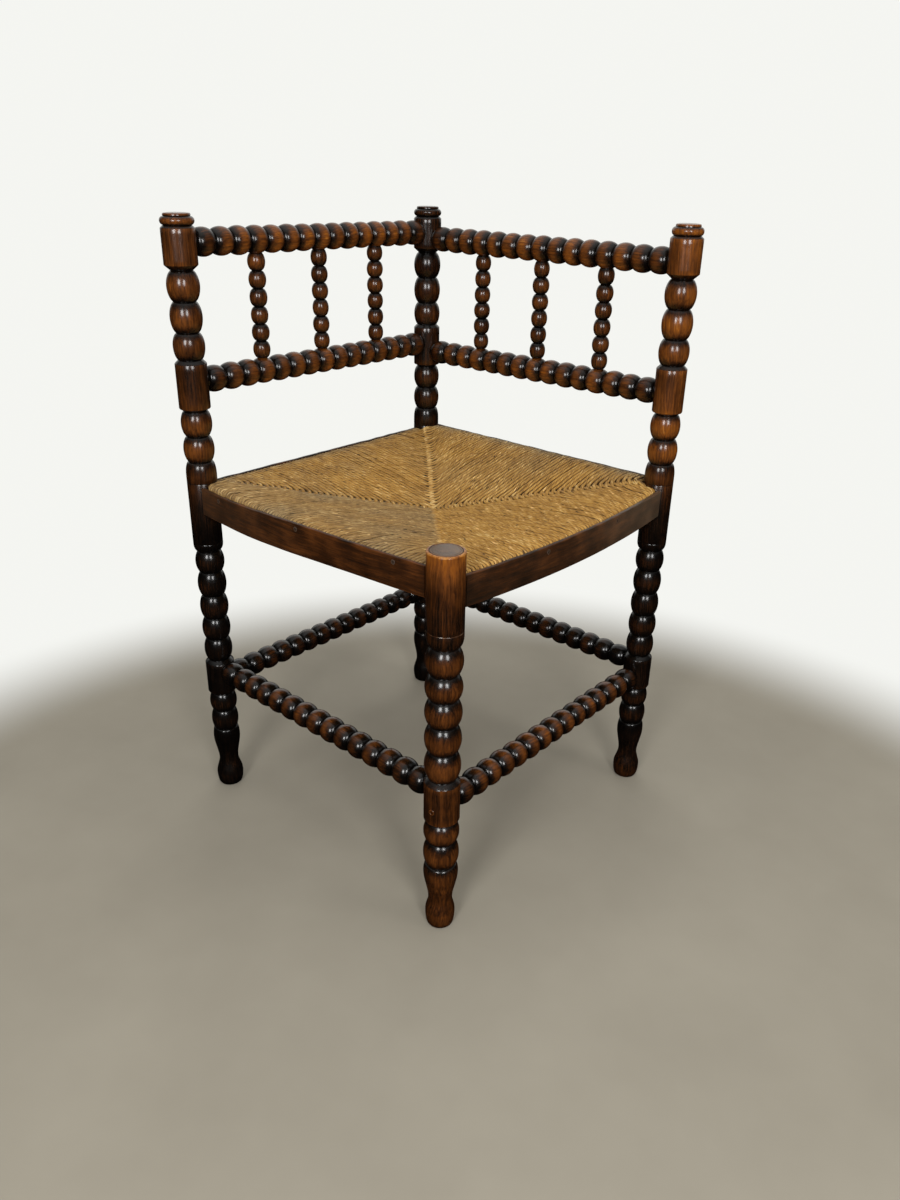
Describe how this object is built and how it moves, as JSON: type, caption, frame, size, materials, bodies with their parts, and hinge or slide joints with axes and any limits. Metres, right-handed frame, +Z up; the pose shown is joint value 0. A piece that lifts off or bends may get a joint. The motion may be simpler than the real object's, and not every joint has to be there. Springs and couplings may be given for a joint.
{
  "type": "corner chair",
  "caption": "Bobbin-turned wooden corner chair with spindled back panels on two sides, a bare front leg and a dished rush seat edged with thin boards.",
  "frame": {"origin": "on the floor, in the middle of the chair's outer box", "axes": "+Z up; +X along the front-left side of the seat, towards the front leg; +Y along the front-right side, from the front leg towards the right-hand post"},
  "size_m": [0.4508, 0.4472, 0.7531],
  "materials": {
    "turned_wood": "dark stained, glossy varnish",
    "board_wood": "dark stained, satin varnish",
    "rush": "dry twisted rush, satin",
    "nail_iron": "dull, dark"
  },
  "bodies": {
    "root": {"apron_back_left": "board_wood", "apron_back_right": "board_wood", "apron_front_left": "board_wood", "apron_front_right": "board_wood", "apron_nails": "nail_iron", "front_leg": "turned_wood", "leg_peg": "turned_wood", "mid_rail_left": "turned_wood", "mid_rail_right": "turned_wood", "post_back": "turned_wood", "post_left": "turned_wood", "post_right": "turned_wood", "rush_seat": "rush", "seat_rail_back_left": "turned_wood", "seat_rail_back_right": "turned_wood", "seat_rail_front_left": "turned_wood", "seat_rail_front_right": "turned_wood", "spindle_left_1": "turned_wood", "spindle_left_2": "turned_wood", "spindle_left_3": "turned_wood", "spindle_right_1": "turned_wood", "spindle_right_2": "turned_wood", "spindle_right_3": "turned_wood", "stretcher_back_left": "turned_wood", "stretcher_back_right": "turned_wood", "stretcher_front_left": "turned_wood", "stretcher_front_right": "turned_wood", "top_rail_left": "turned_wood", "top_rail_right": "turned_wood"}
  },
  "joints": []
}
